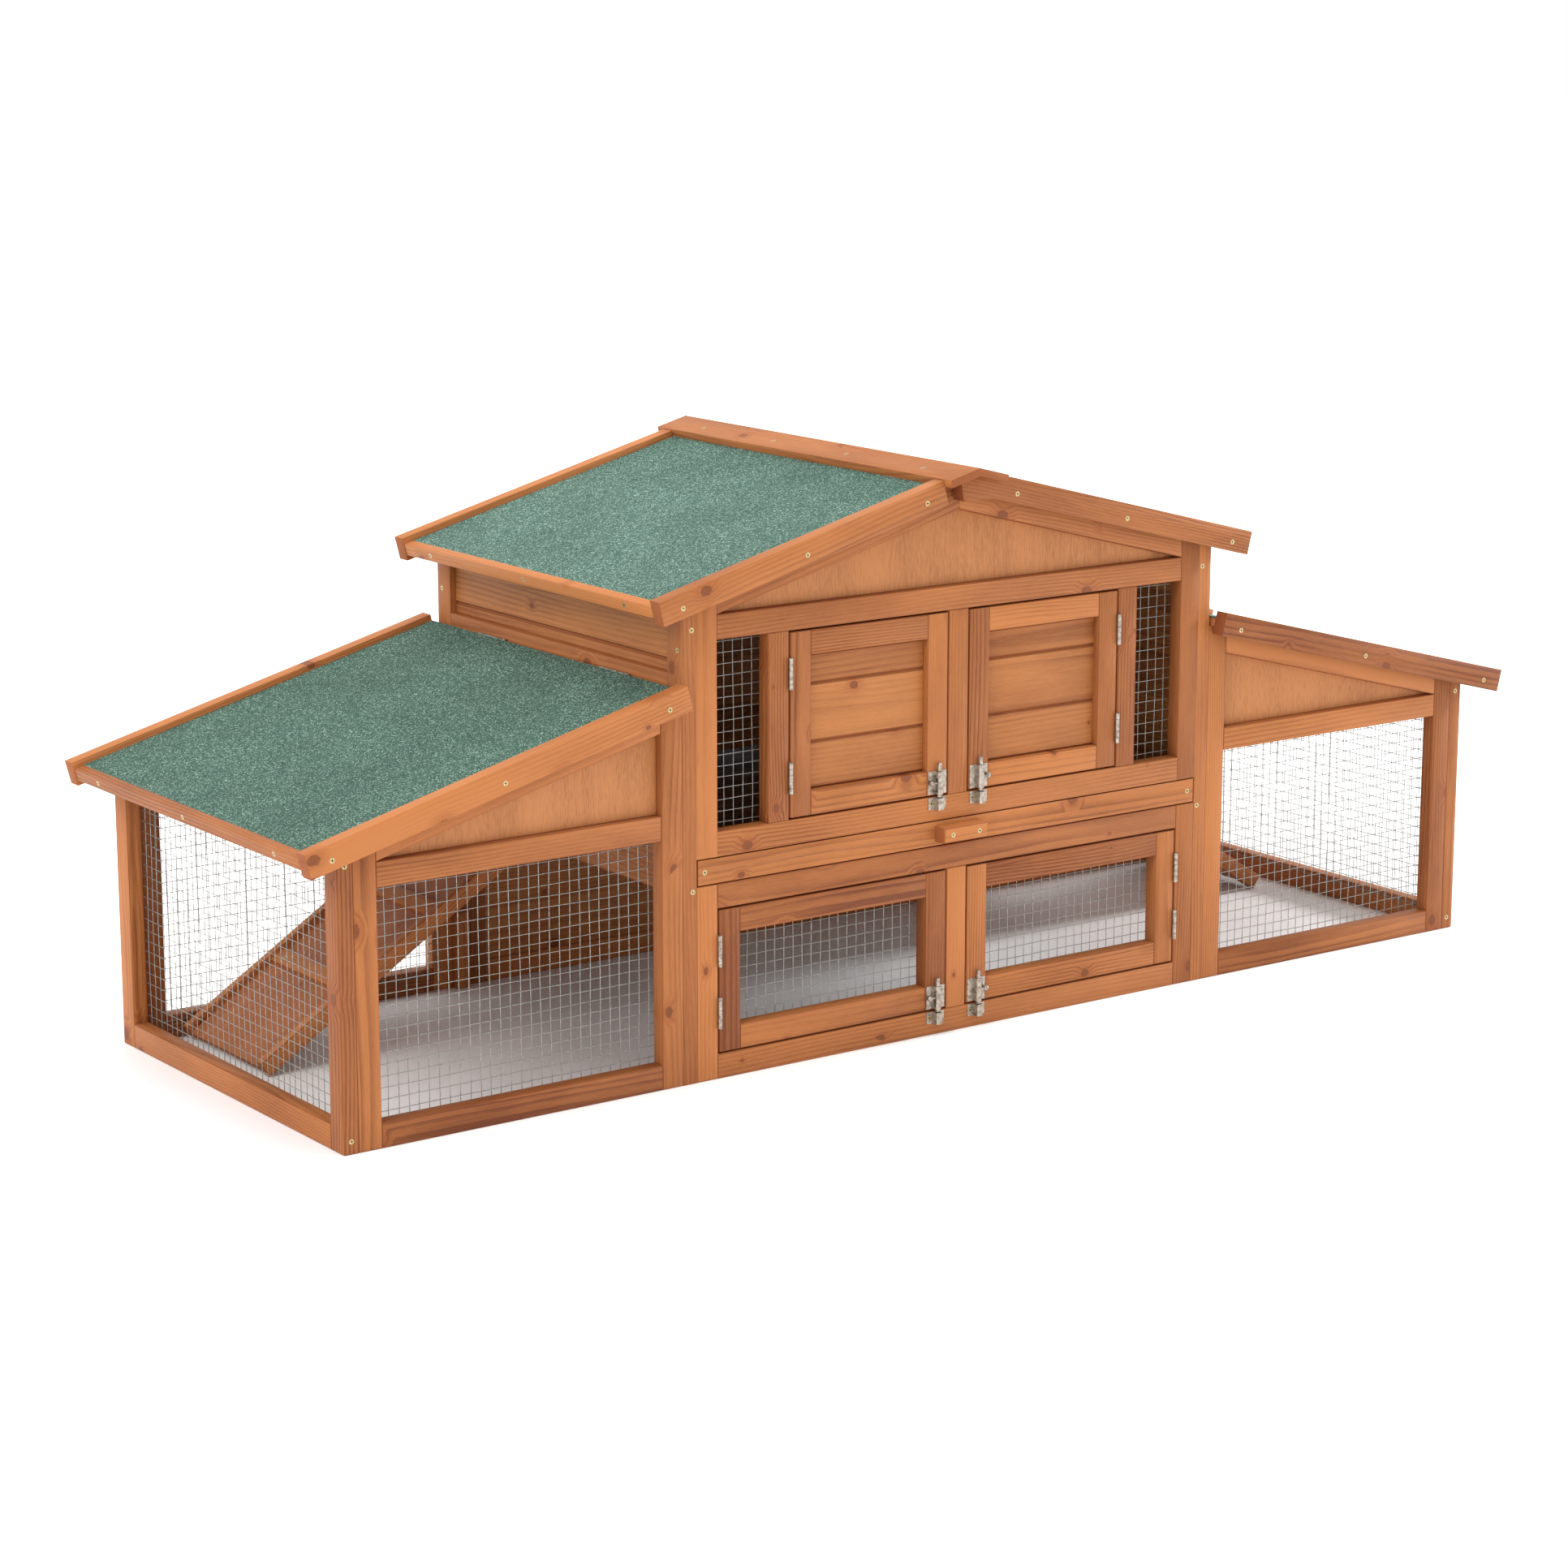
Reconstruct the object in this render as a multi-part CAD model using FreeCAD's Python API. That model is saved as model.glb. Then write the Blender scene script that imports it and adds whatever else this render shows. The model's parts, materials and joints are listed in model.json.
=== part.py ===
import FreeCAD, Part
import math
import os

# Rabbit hutch with a two-storey house, two covered runs and a pull-out tray.
# X runs along the front, +Y is the back, +Z is up; the origin is the middle of the footprint.

# driving sizes, mm
DEPTH = 516.0
RUN_LENGTH = 429.0
HOUSE_WIDTH = 762.0
STICK_W = 28.0
STICK_T = 18.0
ROOF_SLOPE = 14.5
RUN_RAIL_TOP = 310.0
LOWER_FRAME_TOP = 223.5
UPPER_FRAME_BOTTOM = 254.5
UPPER_RAIL_TOP = 525.0

# sheets and boards
BOARD_T = 10.0
BOARD_PITCH = 66.0
BOARD_SEAM = 2.5
TONGUE_T = 3.0
TONGUE_L = 4.0
TONGUE_FIT = 0.3
SIDE_BOARD_BOTTOM = 210.0
SIDE_BOARD_COUNT = 5
GABLE_T = 4.0
GABLE_RECESS = 9.0
MESH_T = 1.0
MESH_WIRE = 2.0
MESH_PITCH = 25.4
MESH_LAP = 8.0
MESH_CORNER_GAP = 2.0

# roofs
ROOF_BOARD_T = 10.0
FELT_T = 2.0
BARGE_RISE = 19.3
BARGE_OFF = 5.0
FASCIA_W = 14.0
FASCIA_T = 12.0
FASCIA_INSET = 1.0
RUN_OVERHANG = 49.0
HOUSE_OVERHANG = 44.5
CAP_W = 38.0
CAP_T = 9.0
CAP_END = 36.0
CAP_FIT = 0.3
BATTEN_DROP = 4.0

# doors
DOOR_GAP = 2.2
UPPER_DOOR_W = 220.0
DOOR_BOARD_LOW = 54.0

# hinges
KNUCKLE_R = 2.5
PIN_R = 1.2
PIN_FIT = 0.3
LEAF_T = 0.8
LEAF_CLEAR = 0.4
KNUCKLE_COUNT = 5
KNUCKLE_GAP = 0.4
DOOR_HINGE_L = 36.0
DOOR_HINGE_IN = 46.0
DOOR_LEAF_W = 16.5
ROOF_HINGE_L = 60.0
ROOF_HINGE_Y = 130.0
ROOF_KNUCKLE_CLEAR = 0.3
ROOF_LEAF_W = 9.0
BATTEN_RISE = 9.5

# tower bolts
BOLT_U = 30.0
PLATE_W = 26.0
PLATE_H = 27.0
PLATE_T = 1.0
PLATE_UP = 1.3
KEEPER_W = 25.0
KEEPER_H = 14.0
KEEPER_DOWN = 2.7
ROD_R = 2.5
ROD_FIT = 0.4
ROD_LIFT = 5.0
ROD_L = 40.0
ROD_CLEAR = 0.8
KEEPER_FIT = 0.8
STRAP_T = 0.8
BARREL_R = 4.0
KNOB_R = 3.4
KNOB_OUT = 11.0
STEM_R = 1.5
BOLT_DOWN = 9.0
BOLT_UP = 4.0

# tray
TRAY_GAP = 1.5
TRAY_SIDE_GAP = 2.0
PAN_SIDE_GAP = 5.0
PAN_H = 24.0
PAN_T = 1.2
PAN_LENGTH = 462.0
PAN_LIFT = 0.5
HANDLE_W = 64.0
HANDLE_S = 18.0
HANDLE_EASE = 2.0
HANDLE_SCREW_U = 19.2

# ramps
RAMP_SLOPE = 32.0
RAMP_FOOT = 71.0
RAMP_W = 191.5
RAIL_H = 20.0
RAIL_T = 12.0
RAMP_END_GAP = 0.5
DECK_T = 6.0
DECK_UNDER = 6.0
CLEAT_W = 20.0
CLEAT_T = 5.0
CLEAT_PITCH = 137.0
CLEAT_COUNT = 3
CLEAT_LAST_BACK = 10.0
DOORWAY_SILL = 254.0
DOORWAY_TOP = 400.0

# screws
HEAD_R = 3.2
SHANK_R = 1.5
HEAD_H = 2.0
POINT_L = 3.0
POINT_R = 0.3
SCREW_L = 26.0
SHORT_SCREW_L = 14.0
SMALL_SCALE = 0.75
TRIM_SCREWS = 3
CAP_SCREWS = 4
CAP_SCREW_END = 38.7
FASCIA_SCREW_END = 57.2

# derived sizes
WALL = HOUSE_WIDTH / 2
END = WALL + RUN_LENGTH
HALF = DEPTH / 2
COS = math.cos(math.radians(ROOF_SLOPE))
SIN = math.sin(math.radians(ROOF_SLOPE))
TAN = SIN / COS
STICK_UP = STICK_W / COS
RUN_INNER = END - STICK_T - STICK_W
HOUSE_INNER = WALL - STICK_T - STICK_W
WALL_INNER = WALL - STICK_T
BARGE_LOW = BARGE_RISE - STICK_W
ROOF_TOP = ROOF_BOARD_T + FELT_T
LEAF_START = KNUCKLE_R + LEAF_CLEAR
ROOF_HINGE_FACE = KNUCKLE_R + ROOF_KNUCKLE_CLEAR
ROOF_HALF = HALF + BARGE_OFF
RECESS = STICK_T - BOARD_T
FRONT_ENDS = (-1, 1)
SIDES = {"left": -1, "right": 1}

X = FreeCAD.Vector(1, 0, 0)
Y = FreeCAD.Vector(0, 1, 0)
Z = FreeCAD.Vector(0, 0, 1)


def run_plane(u):
    """Height of the run's roof underside, u out from the middle."""
    return RUN_RAIL_TOP + STICK_UP + (RUN_INNER - u) * TAN


def house_plane(u):
    """Height of the house's roof underside."""
    return UPPER_RAIL_TOP + STICK_UP + (HOUSE_INNER - u) * TAN


def on_run(s, n):
    """Point s down the run roof from the wall face and n above its underside."""
    return WALL + s * COS + n * SIN, run_plane(WALL) - s * SIN + n * COS


def on_house(s, n):
    """Point s down the house roof from the ridge and n above its underside."""
    return s * COS + n * SIN, house_plane(0) - s * SIN + n * COS


def block(xs, ys, zs):
    """Box between three pairs of limits given in any order."""
    low = FreeCAD.Vector(min(xs), min(ys), min(zs))
    return Part.makeBox(abs(xs[1] - xs[0]), abs(ys[1] - ys[0]), abs(zs[1] - zs[0]), low)


def plate_xz(points, ys):
    """Outline drawn in X and Z, thick along Y."""
    wire = Part.makePolygon([FreeCAD.Vector(x, ys[0], z) for x, z in points + points[:1]])
    return Part.Face(wire).extrude(Y * (ys[1] - ys[0]))


def at_side(side, points):
    return [(side * u, z) for u, z in points]


def span(side, u0, u1):
    return side * u0, side * u1


def layer(end, t0, t1):
    """Y limits of a layer t0 to t1 in from the front (-1) or back (1) face."""
    return end * (HALF - t0), end * (HALF - t1)


def tongued_board(low, high, first, last, faces, along, ys_or_xs):
    """Horizontal board with a tongue on top and a groove below, faces = outer, inner."""
    outer, inner = faces
    step = 1 if inner > outer else -1
    mid = (outer + inner) / 2
    points = [(outer + step * BOARD_SEAM, low), (outer, low + BOARD_SEAM)]
    points += [(outer, high - BOARD_SEAM), (outer + step * BOARD_SEAM, high)]
    if not last:
        half = step * TONGUE_T / 2
        points += [(mid - half, high), (mid - half, high + TONGUE_L)]
        points += [(mid + half, high + TONGUE_L), (mid + half, high)]
    points += [(inner, high), (inner, low)]
    if not first:
        half = step * (TONGUE_T / 2 + TONGUE_FIT)
        deep = TONGUE_L + TONGUE_FIT
        points += [(mid + half, low), (mid + half, low + deep)]
        points += [(mid - half, low + deep), (mid - half, low)]
    start, stop = ys_or_xs
    if along == "y":
        corners = [FreeCAD.Vector(c, start, z) for c, z in points + points[:1]]
        return Part.Face(Part.makePolygon(corners)).extrude(Y * (stop - start))
    corners = [FreeCAD.Vector(start, c, z) for c, z in points + points[:1]]
    return Part.Face(Part.makePolygon(corners)).extrude(X * (stop - start))


def board_wall(bottom, pitch, count, faces, along, limits):
    boards = []
    for i in range(count):
        low = bottom + i * pitch
        boards.append(tongued_board(low, low + pitch, i == 0, i == count - 1, faces, along, limits))
    return boards


def mesh_sheet(origin, along, up, through, width, height):
    """Sheet with square holes; whole cells sit in the middle of a plain edge."""
    def ring(a0, a1, b0, b1):
        corners = [(a0, b0), (a1, b0), (a1, b1), (a0, b1), (a0, b0)]
        return Part.makePolygon([origin + along * a + up * b for a, b in corners])
    across = int((width - MESH_WIRE) // MESH_PITCH)
    tall = int((height - MESH_WIRE) // MESH_PITCH)
    a_start = (width - across * MESH_PITCH) / 2
    b_start = (height - tall * MESH_PITCH) / 2
    holes = []
    for i in range(across):
        for j in range(tall):
            a = a_start + i * MESH_PITCH
            b = b_start + j * MESH_PITCH
            near = MESH_WIRE / 2
            far = MESH_PITCH - MESH_WIRE / 2
            hole = ring(a + near, a + far, b + near, b + far)
            hole.reverse()
            holes.append(hole)
    face = Part.Face([ring(0, width, 0, height)] + holes)
    return face.extrude(through * MESH_T)


def screw(point, inward, length, scale=1.0):
    """Countersunk wood screw with its head flush at point."""
    head_r = HEAD_R * scale
    shank_r = SHANK_R * scale
    head = Part.makeCone(head_r, shank_r, HEAD_H * scale, point, inward)
    shank = Part.makeCylinder(shank_r, length - POINT_L, point, inward)
    tip = Part.makeCone(shank_r, POINT_R, POINT_L, point + inward * (length - POINT_L), inward)
    return head.fuse([shank, tip]).removeSplitter()


def drill(groups, screws):
    """Cut every screw's own shape out of the solids it passes through."""
    for group in groups:
        for i, solid in enumerate(group):
            hits = [s for s in screws if solid.BoundBox.intersect(s.BoundBox)]
            if hits:
                group[i] = solid.cut(hits).Solids[0]


def hinge_slab(pivot, axis, along, across, reach, face, rise):
    """Flat strip between two reaches along the leaf, lying against a face."""
    corners = [(reach[0], face - LEAF_T), (reach[1], face - LEAF_T), (reach[1], face), (reach[0], face)]
    points = [pivot + along * a + across * c + axis * rise[0] for a, c in corners + corners[:1]]
    return Part.Face(Part.makePolygon(points)).extrude(axis * (rise[1] - rise[0]))


def hinge_leaf(pivot, axis, along, across, length, width, face, parity):
    """One leaf with every second knuckle; pivot is the middle of the pin."""
    bore = PIN_R if parity == 0 else PIN_R + PIN_FIT
    pitch = length / KNUCKLE_COUNT
    body = hinge_slab(pivot, axis, along, across, (LEAF_START, width), face, (-length / 2, length / 2))
    for i in range(parity, KNUCKLE_COUNT, 2):
        low = -length / 2 + i * pitch + KNUCKLE_GAP / 2
        high = low + pitch - KNUCKLE_GAP
        knuckle = Part.makeCylinder(KNUCKLE_R, high - low, pivot + axis * low, axis)
        tongue = hinge_slab(pivot, axis, along, across, (0, LEAF_START + LEAF_T), face, (low, high))
        body = body.fuse([knuckle, tongue])
    hole = Part.makeCylinder(bore, length, pivot - axis * (length / 2), axis)
    return body.cut(hole).removeSplitter().Solids[0]


def hinge_pin(pivot, axis, length):
    return Part.makeCylinder(PIN_R, length, pivot - axis * (length / 2), axis)


def run_frame(side):
    """End, front and back frames of one run."""
    end_x = span(side, END - STICK_T, END)
    end_top = run_plane(END)
    lean = run_plane(END - STICK_T)
    rail_y = (-HALF + STICK_W, HALF - STICK_W)
    post = [(END - STICK_T, 0), (END, 0), (END, end_top), (END - STICK_T, lean)]
    rail = [(END - STICK_T, end_top - STICK_W), (END, end_top - STICK_W), (END, end_top)]
    rail += [(END - STICK_T, lean)]
    sticks = [block(end_x, rail_y, (0, STICK_W)), plate_xz(at_side(side, rail), rail_y)]
    near = WALL + STICK_W
    for end in FRONT_ENDS:
        y = layer(end, 0, STICK_T)
        sticks.append(plate_xz(at_side(side, post), layer(end, 0, STICK_W)))
        for u0, u1 in ((WALL, near), (RUN_INNER, END - STICK_T)):
            outline = [(u0, 0), (u1, 0), (u1, run_plane(u1)), (u0, run_plane(u0))]
            sticks.append(plate_xz(at_side(side, outline), y))
        sticks.append(block(span(side, near, RUN_INNER), y, (0, STICK_W)))
        sticks.append(block(span(side, near, RUN_INNER), y, (RUN_RAIL_TOP - STICK_W, RUN_RAIL_TOP)))
        slope = [(RUN_INNER, RUN_RAIL_TOP), (near, run_plane(near) - STICK_UP)]
        slope += [(near, run_plane(near)), (RUN_INNER, run_plane(RUN_INNER))]
        sticks.append(plate_xz(at_side(side, slope), y))
    return sticks


def run_mesh(side):
    """Mesh on the inner faces of one run's frames."""
    low = STICK_W - MESH_LAP
    half_y = HALF - STICK_T - MESH_CORNER_GAP
    top = run_plane(END) - STICK_W + MESH_LAP
    end_at = FreeCAD.Vector(side * (END - STICK_T), -half_y, low)
    sheets = [mesh_sheet(end_at, Y, Z, X * -side, 2 * half_y, top - low)]
    near = WALL + STICK_W - MESH_LAP
    far = RUN_INNER + MESH_LAP
    for end in FRONT_ENDS:
        corner = FreeCAD.Vector(side * near, end * (HALF - STICK_T), low)
        height = RUN_RAIL_TOP - STICK_W + MESH_LAP - low
        sheets.append(mesh_sheet(corner, X * side, Z, Y * -end, far - near, height))
    return sheets


def gable_sheets():
    sheets = []
    near = WALL + STICK_W
    for end in FRONT_ENDS:
        y = layer(end, GABLE_RECESS, GABLE_RECESS + GABLE_T)
        for side in SIDES.values():
            edge = run_plane(near) - STICK_UP
            outline = [(RUN_INNER, RUN_RAIL_TOP), (near, RUN_RAIL_TOP), (near, edge)]
            sheets.append(plate_xz(at_side(side, outline), y))
        peak = (0, house_plane(0) - STICK_UP)
        outline = [(-HOUSE_INNER, UPPER_RAIL_TOP), (HOUSE_INNER, UPPER_RAIL_TOP), peak]
        sheets.append(plate_xz(outline, y))
    return sheets


def upper_panel(end, bottom):
    """Outer stiles, top rail and gable rails shared by the front and the back."""
    y = layer(end, 0, STICK_T)
    sticks = []
    for side in SIDES.values():
        u0, u1 = HOUSE_INNER, WALL_INNER
        post = [(u0, bottom), (u1, bottom), (u1, house_plane(u1)), (u0, house_plane(u0))]
        sticks.append(plate_xz(at_side(side, post), y))
        slope = [(HOUSE_INNER, UPPER_RAIL_TOP), (0, house_plane(0) - STICK_UP)]
        slope += [(0, house_plane(0)), (HOUSE_INNER, house_plane(HOUSE_INNER))]
        sticks.append(plate_xz(at_side(side, slope), y))
    rail_x = (-HOUSE_INNER, HOUSE_INNER)
    sticks.append(block(rail_x, y, (bottom, bottom + STICK_W)))
    sticks.append(block(rail_x, y, (UPPER_RAIL_TOP - STICK_W, UPPER_RAIL_TOP)))
    return sticks


DOOR_INNER = STICK_W / 2 + DOOR_GAP
UPPER_DOOR_OUTER = DOOR_INNER + UPPER_DOOR_W
LOWER_DOOR_OUTER = HOUSE_INNER - DOOR_GAP
UPPER_DOOR_Z = (UPPER_FRAME_BOTTOM + STICK_W + DOOR_GAP, UPPER_RAIL_TOP - STICK_W - DOOR_GAP)
LOWER_DOOR_Z = (STICK_W + DOOR_GAP, LOWER_FRAME_TOP - STICK_W - DOOR_GAP)
FRONT = layer(-1, 0, STICK_T)
FACE_Y = -HALF


def upper_front():
    sticks = upper_panel(-1, UPPER_FRAME_BOTTOM)
    z = (UPPER_FRAME_BOTTOM + STICK_W, UPPER_RAIL_TOP - STICK_W)
    hinge_u = UPPER_DOOR_OUTER + DOOR_GAP
    sticks.append(block((-STICK_W / 2, STICK_W / 2), FRONT, z))
    for side in SIDES.values():
        sticks.append(block(span(side, hinge_u, hinge_u + STICK_W), FRONT, z))
    return sticks


def lower_front():
    rail_x = (-HOUSE_INNER, HOUSE_INNER)
    top = (LOWER_FRAME_TOP - STICK_W, LOWER_FRAME_TOP)
    sticks = [block(rail_x, FRONT, (0, STICK_W)), block(rail_x, FRONT, top)]
    sticks.append(block((-STICK_W / 2, STICK_W / 2), FRONT, (STICK_W, top[0])))
    for side in SIDES.values():
        sticks.append(block(span(side, HOUSE_INNER, WALL_INNER), FRONT, (0, LOWER_FRAME_TOP)))
    return sticks


def window_mesh():
    near = UPPER_DOOR_OUTER + DOOR_GAP + STICK_W - MESH_LAP
    far = HOUSE_INNER + MESH_LAP
    low = UPPER_FRAME_BOTTOM + STICK_W - MESH_LAP
    high = UPPER_RAIL_TOP - STICK_W + MESH_LAP
    sheets = []
    for side in SIDES.values():
        corner = FreeCAD.Vector(side * near, -HALF + STICK_T, low)
        sheets.append(mesh_sheet(corner, X * side, Z, Y, far - near, high - low))
    return sheets


def side_frames():
    sticks = []
    for side in SIDES.values():
        u0, u1 = WALL_INNER, WALL
        post = [(u0, 0), (u1, 0), (u1, house_plane(u1)), (u0, house_plane(u0))]
        for end in FRONT_ENDS:
            sticks.append(plate_xz(at_side(side, post), layer(end, 0, STICK_W)))
    return sticks


RAMP_Y = (HALF - STICK_W - RAMP_END_GAP - RAMP_W, HALF - STICK_W - RAMP_END_GAP)


def side_boards():
    boards = []
    reach = HALF - STICK_W
    for side in SIDES.values():
        faces = (side * (WALL - RECESS), side * WALL_INNER)
        wall = board_wall(SIDE_BOARD_BOTTOM, BOARD_PITCH, SIDE_BOARD_COUNT, faces, "y", (-reach, reach))
        through = span(side, WALL_INNER - STICK_T, WALL)
        doorway = block(through, (RAMP_Y[0], reach), (DOORWAY_SILL, DOORWAY_TOP))
        boards += [board.cut(doorway).Solids[0] for board in wall]
    return boards


def back_boards():
    low = STICK_W
    high = UPPER_RAIL_TOP - STICK_W
    count = round((high - low) / BOARD_PITCH)
    faces = (HALF - RECESS, HALF - STICK_T)
    return board_wall(low, (high - low) / count, count, faces, "x", (-HOUSE_INNER, HOUSE_INNER))


# roofs: s limits along each slope
RUN_TIP = (END + RUN_OVERHANG - WALL - BARGE_RISE * SIN) / COS
RUN_PIVOT_N = ROOF_TOP - KNUCKLE_R
RUN_PIVOT_S = (ROOF_HINGE_FACE - RUN_PIVOT_N * SIN) / COS
RUN_START = RUN_PIVOT_S + ROOF_HINGE_FACE
HOUSE_TIP = (WALL + HOUSE_OVERHANG - BARGE_RISE * SIN) / COS
PIVOT_U, PIVOT_Z = on_run(RUN_PIVOT_S, RUN_PIVOT_N)
BATTEN_TOP = PIVOT_Z + BATTEN_RISE + KNUCKLE_R + LEAF_START


def strip(place, side, s, n, ys):
    outline = [place(s[0], n[0]), place(s[1], n[0]), place(s[1], n[1]), place(s[0], n[1])]
    return plate_xz(at_side(side, outline), ys)


def barge_layer(end):
    return layer(end, -BARGE_OFF, -BARGE_OFF - STICK_T)


def roof_fascia(place, side, tip):
    edge = tip - FASCIA_INSET
    return strip(place, side, (edge - FASCIA_T, edge), (ROOF_TOP - FASCIA_W, ROOF_TOP), (-ROOF_HALF, ROOF_HALF))


def run_roof(side):
    """Board, felt and trim of one lifting roof."""
    y = (-ROOF_HALF, ROOF_HALF)
    edge = RUN_TIP - FASCIA_INSET - FASCIA_T
    board = strip(on_run, side, (RUN_START, edge), (0, ROOF_BOARD_T), y)
    felt = strip(on_run, side, (RUN_START, edge), (ROOF_BOARD_T, ROOF_TOP), y)
    trim = [roof_fascia(on_run, side, RUN_TIP)]
    for end in FRONT_ENDS:
        trim.append(strip(on_run, side, (RUN_START, RUN_TIP), (BARGE_LOW, BARGE_RISE), barge_layer(end)))
    return [board], [felt], trim


def house_roof():
    """Boards, felt, fascias and the ridge cap."""
    y = (-ROOF_HALF, ROOF_HALF)
    edge = HOUSE_TIP - FASCIA_INSET - FASCIA_T
    peak = house_plane(0)
    boards = []
    felt = []
    fascias = []
    caps = []
    for side in SIDES.values():
        outline = [(0, peak), on_house(edge, 0), on_house(edge, ROOF_BOARD_T), (0, peak + ROOF_BOARD_T / COS)]
        boards.append(plate_xz(at_side(side, outline), y))
        outline = [(0, peak + ROOF_BOARD_T / COS), on_house(edge, ROOF_BOARD_T), on_house(edge, ROOF_TOP)]
        outline.append((0, peak + ROOF_TOP / COS))
        felt.append(plate_xz(at_side(side, outline), y))
        fascias.append(roof_fascia(on_house, side, HOUSE_TIP))
        over = ROOF_TOP + CAP_T
        outline = [(0, peak + ROOF_TOP / COS), on_house(CAP_W, ROOF_TOP), on_house(CAP_W, over)]
        outline.append((0, peak + over / COS))
        caps.append(plate_xz(at_side(side, outline), (-HALF - CAP_END, HALF + CAP_END)))
    return boards, felt, fascias, caps


HOOD_LEFT = 17.0
HOOD_LEFT_LOW = 13.0
HOOD_FLAT = 30.0


def house_barges():
    """Left boards stop at the cap; right boards fold over the ridge below it."""
    start = CAP_W + CAP_FIT
    peak = house_plane(0)
    under = peak + ROOF_TOP / COS
    flat = peak - HOOD_FLAT * TAN + BARGE_LOW / COS
    fold = [(-HOOD_LEFT_LOW, flat), (-HOOD_LEFT, under - HOOD_LEFT * TAN), (0, under)]
    fold += [on_house(start, ROOF_TOP), on_house(start, BARGE_RISE)]
    fold += [on_house(HOUSE_TIP, BARGE_RISE), on_house(HOUSE_TIP, BARGE_LOW), (HOOD_FLAT, flat)]
    boards = []
    for end in FRONT_ENDS:
        y = barge_layer(end)
        boards.append(strip(on_house, -1, (start, HOUSE_TIP), (BARGE_LOW, BARGE_RISE), y))
        boards.append(plate_xz(fold, y))
    return boards


def battens():
    reach = HALF - STICK_W
    low = run_plane(WALL) - BATTEN_DROP
    return [block(span(s, WALL - RECESS, WALL), (-reach, reach), (low, BATTEN_TOP)) for s in SIDES.values()]


def roof_hinges(side):
    """Fixed leaves, moving leaves and pins of one run roof."""
    fixed = []
    moving = []
    pins = []
    out = FreeCAD.Vector(side * COS, 0, -SIN)
    down = FreeCAD.Vector(-side * SIN, 0, -COS)
    for end in FRONT_ENDS:
        pivot = FreeCAD.Vector(side * PIVOT_U, end * ROOF_HINGE_Y, PIVOT_Z)
        fixed.append(hinge_leaf(pivot, Y, Z * -1, X * -side, ROOF_HINGE_L, ROOF_LEAF_W, ROOF_HINGE_FACE, 0))
        moving.append(hinge_leaf(pivot, Y, down, out, ROOF_HINGE_L, ROOF_LEAF_W, ROOF_HINGE_FACE, 1))
        pins.append(hinge_pin(pivot, Y, ROOF_HINGE_L))
    return fixed, moving, pins


def door_frame(side, outer, zs):
    inner_u = (DOOR_INNER + STICK_W, outer - STICK_W)
    sticks = [block(span(side, DOOR_INNER, inner_u[0]), FRONT, zs)]
    sticks.append(block(span(side, inner_u[1], outer), FRONT, zs))
    sticks.append(block(span(side, *inner_u), FRONT, (zs[0], zs[0] + STICK_W)))
    sticks.append(block(span(side, *inner_u), FRONT, (zs[1] - STICK_W, zs[1])))
    return sticks


def door_boards(side):
    """Three level boards of an upper door; the top and bottom ones are cut down."""
    low = UPPER_DOOR_Z[0] + STICK_W
    high = UPPER_DOOR_Z[1] - STICK_W
    first = low + DOOR_BOARD_LOW
    edges = (low, first, first + BOARD_PITCH, high)
    faces = (-HALF + RECESS, -HALF + STICK_T)
    limits = span(side, DOOR_INNER + STICK_W, UPPER_DOOR_OUTER - STICK_W)
    boards = []
    last = len(edges) - 2
    for i in range(last + 1):
        boards.append(tongued_board(edges[i], edges[i + 1], i == 0, i == last, faces, "x", limits))
    return boards


def door_mesh(side):
    near = DOOR_INNER + STICK_W - MESH_LAP
    far = LOWER_DOOR_OUTER - STICK_W + MESH_LAP
    low = LOWER_DOOR_Z[0] + STICK_W - MESH_LAP
    high = LOWER_DOOR_Z[1] - STICK_W + MESH_LAP
    corner = FreeCAD.Vector(side * near, -HALF + STICK_T, low)
    return [mesh_sheet(corner, X * side, Z, Y, far - near, high - low)]


def door_hinges(side, outer, zs):
    fixed = []
    moving = []
    pins = []
    face = DOOR_GAP / 2
    for z in (zs[0] + DOOR_HINGE_IN, zs[1] - DOOR_HINGE_IN):
        pivot = FreeCAD.Vector(side * (outer + face), FACE_Y - KNUCKLE_R, z)
        fixed.append(hinge_leaf(pivot, Z, Y, X * side, DOOR_HINGE_L, DOOR_LEAF_W, face, 0))
        moving.append(hinge_leaf(pivot, Z, Y, X * -side, DOOR_HINGE_L, DOOR_LEAF_W, face, 1))
        pins.append(hinge_pin(pivot, Z, DOOR_HINGE_L))
    return fixed, moving, pins


def bolt_housing(side, low, slot):
    """Plate with a raised barrel for the rod; slot is the knob's path."""
    high = low + PLATE_H
    mid = side * BOLT_U
    axis_y = FACE_Y - ROD_LIFT
    base = FreeCAD.Vector(mid, axis_y, low)
    body = block((mid - PLATE_W / 2, mid + PLATE_W / 2), (FACE_Y, FACE_Y - PLATE_T), (low, high))
    web = block((mid - BARREL_R, mid + BARREL_R), (FACE_Y, axis_y), (low, high))
    body = body.fuse([web, Part.makeCylinder(BARREL_R, PLATE_H, base, Z)])
    body = body.cut(Part.makeCylinder(ROD_R + ROD_FIT, PLATE_H, base, Z))
    half = STEM_R + ROD_FIT
    body = body.cut(block((mid, mid + side * 2 * BARREL_R), (axis_y - half, axis_y + half), slot))
    return body.removeSplitter().Solids[0]


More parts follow.
